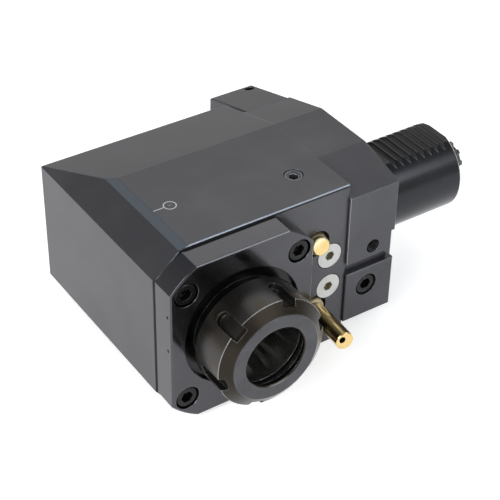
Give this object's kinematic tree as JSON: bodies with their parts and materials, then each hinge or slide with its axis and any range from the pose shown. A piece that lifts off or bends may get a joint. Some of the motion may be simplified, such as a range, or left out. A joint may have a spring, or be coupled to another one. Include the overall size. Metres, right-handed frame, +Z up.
{
  "type": "driven tool holder",
  "caption": "Angled driven tool holder: serrated round shank and flange, black steel housing, collet spindle at right angles with slotted nut, and swivelling brass coolant nozzles.",
  "frame": {"origin": "shank axis at the flange's locating face", "axes": "+X out along the shank, -Y the way the collet nut faces, +Z up, away from the housing's base"},
  "size_m": [0.185, 0.1441, 0.0805],
  "materials": {
    "black_oxide_steel": "black oxide, fine satin",
    "black_screw_steel": "black oxide, glossy",
    "dark_nut_steel": "black oxide, polished",
    "ground_steel": "ground",
    "hardened_steel": "hardened and ground",
    "brass": "turned",
    "zinc_plated_steel": "zinc plated, matt",
    "seal_rubber": "matt"
  },
  "bodies": {
    "housing_body": {"housing": "black_oxide_steel", "shank_flange": "black_oxide_steel", "spindle_cover": "black_oxide_steel", "cover_screws": "black_screw_steel", "flange_screws": "black_screw_steel", "dowel_pins": "hardened_steel", "front_alignment_block": "black_oxide_steel", "front_block_screw": "black_screw_steel", "rear_alignment_block": "black_oxide_steel", "rear_block_screws": "black_screw_steel", "nozzle_clamp_screws": "zinc_plated_steel", "top_plug": "black_screw_steel", "flange_seal": "seal_rubber", "cover_seal": "seal_rubber", "coolant_inlet": "brass", "shaft_seal": "seal_rubber", "shank_bearing_outer_ring": "hardened_steel", "shank_bearing_shields": "hardened_steel", "retaining_ring": "hardened_steel", "drive_bearing_outer_rings": "hardened_steel", "drive_bearing_shields": "hardened_steel", "spindle_bearing_outer_rings": "hardened_steel", "spindle_bearing_shields": "hardened_steel", "tail_bearing_outer_ring": "hardened_steel", "tail_bearing_shields": "hardened_steel", "rear_cap": "black_oxide_steel", "rear_cap_screws": "black_screw_steel"},
    "drive_shaft_body": {"drive_shaft": "ground_steel", "drive_pinion": "hardened_steel", "pinion_key": "hardened_steel", "pinion_screw": "ground_steel", "drive_bearing_inner_rings": "hardened_steel", "drive_lock_nut": "ground_steel", "shank_bearing_inner_ring": "hardened_steel"},
    "spindle_body": {"spindle": "ground_steel", "spindle_gear": "hardened_steel", "spindle_key": "hardened_steel", "spindle_bearing_inner_rings": "hardened_steel", "labyrinth_ring": "dark_nut_steel", "spindle_spacer": "ground_steel", "tail_bearing_inner_ring": "hardened_steel", "spindle_lock_nut": "ground_steel"},
    "clamping_ring_body": {"clamping_ring": "dark_nut_steel"},
    "collet_nut_body": {"collet_nut": "dark_nut_steel"},
    "lower_nozzle_seat_body": {"lower_nozzle_seat": "dark_nut_steel"},
    "lower_nozzle_body": {"lower_nozzle": "brass"},
    "upper_nozzle_seat_body": {"upper_nozzle_seat": "dark_nut_steel"},
    "upper_nozzle_body": {"upper_nozzle": "brass"}
  },
  "joints": [
    {"name": "drive_spin", "type": "hinge", "parent": "housing_body", "child": "drive_shaft_body", "pos_m": [0, 0, 0], "axis": [1, 0, 0], "continuous": true},
    {"name": "spindle_spin", "type": "hinge", "parent": "housing_body", "child": "spindle_body", "pos_m": [-0.085, 0, 0], "axis": [0, 1, 0], "continuous": true},
    {"name": "clamping_ring_slide", "type": "slide", "parent": "spindle_body", "child": "clamping_ring_body", "axis": [0, -1, 0], "range_m": [0, 0.006]},
    {"name": "nut_turn", "type": "hinge", "parent": "clamping_ring_body", "child": "collet_nut_body", "pos_m": [-0.085, 0, 0], "axis": [0, -1, 0], "range_deg": [0, 1440]},
    {"name": "lower_nozzle_swivel", "type": "hinge", "parent": "housing_body", "child": "lower_nozzle_seat_body", "pos_m": [-0.0409, -0.0373, -0.0185], "axis": [0, 1, 0], "continuous": true},
    {"name": "lower_nozzle_tilt", "type": "hinge", "parent": "lower_nozzle_seat_body", "child": "lower_nozzle_body", "pos_m": [-0.0409, -0.0373, -0.0185], "axis": [-0.6018, 0, -0.7986], "range_deg": [-29.7, 10.3]},
    {"name": "upper_nozzle_swivel", "type": "hinge", "parent": "housing_body", "child": "upper_nozzle_seat_body", "pos_m": [-0.0409, -0.0373, 0.0156], "axis": [0, 1, 0], "continuous": true},
    {"name": "upper_nozzle_tilt", "type": "hinge", "parent": "upper_nozzle_seat_body", "child": "upper_nozzle_body", "pos_m": [-0.0409, -0.0373, 0.0156], "axis": [-0.8829, 0, -0.4695], "range_deg": [-38, 2]}
  ],
  "couplings": [
    {"joint": "drive_spin", "follows": "spindle_spin", "ratio": 1},
    {"joint": "nut_turn", "follows": "clamping_ring_slide", "rad_per_m": 4188.8}
  ]
}
